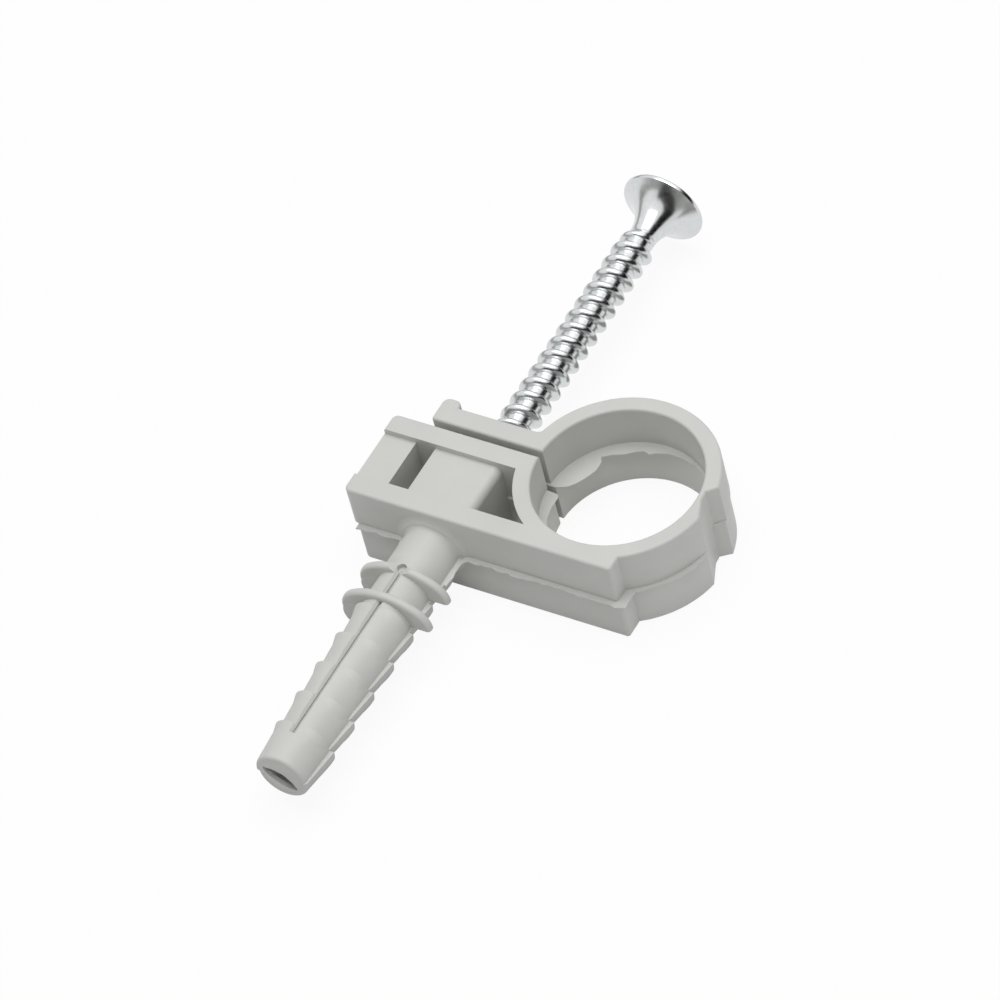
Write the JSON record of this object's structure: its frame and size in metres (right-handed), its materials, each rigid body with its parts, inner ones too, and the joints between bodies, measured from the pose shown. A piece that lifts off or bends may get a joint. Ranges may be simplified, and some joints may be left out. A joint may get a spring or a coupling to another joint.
{
  "type": "pipe clip",
  "caption": "Plastic pipe clip moulded in one piece with its barbed wall plug; a countersunk screw closes the hinged strap round the pipe and spreads the plug.",
  "frame": {"origin": "on the plug's axis, in the wall plane, at the parting plane of the mould", "axes": "+Z along the pipe, +Y out of the wall along the screw, +X from the block towards the ring"},
  "size_m": [0.0428, 0.0953, 0.0118],
  "materials": {
    "polypropylene": "light grey, satin, as moulded",
    "zinc_plated_steel": "bright zinc plating"
  },
  "bodies": {
    "clip": {"clip_body": "polypropylene"},
    "screw": {"screw": "zinc_plated_steel"}
  },
  "joints": [
    {"name": "screw_travel", "type": "slide", "parent": "clip", "child": "screw", "axis": [0, -1, 0], "range_m": [-0.016, 0.0412]}
  ]
}
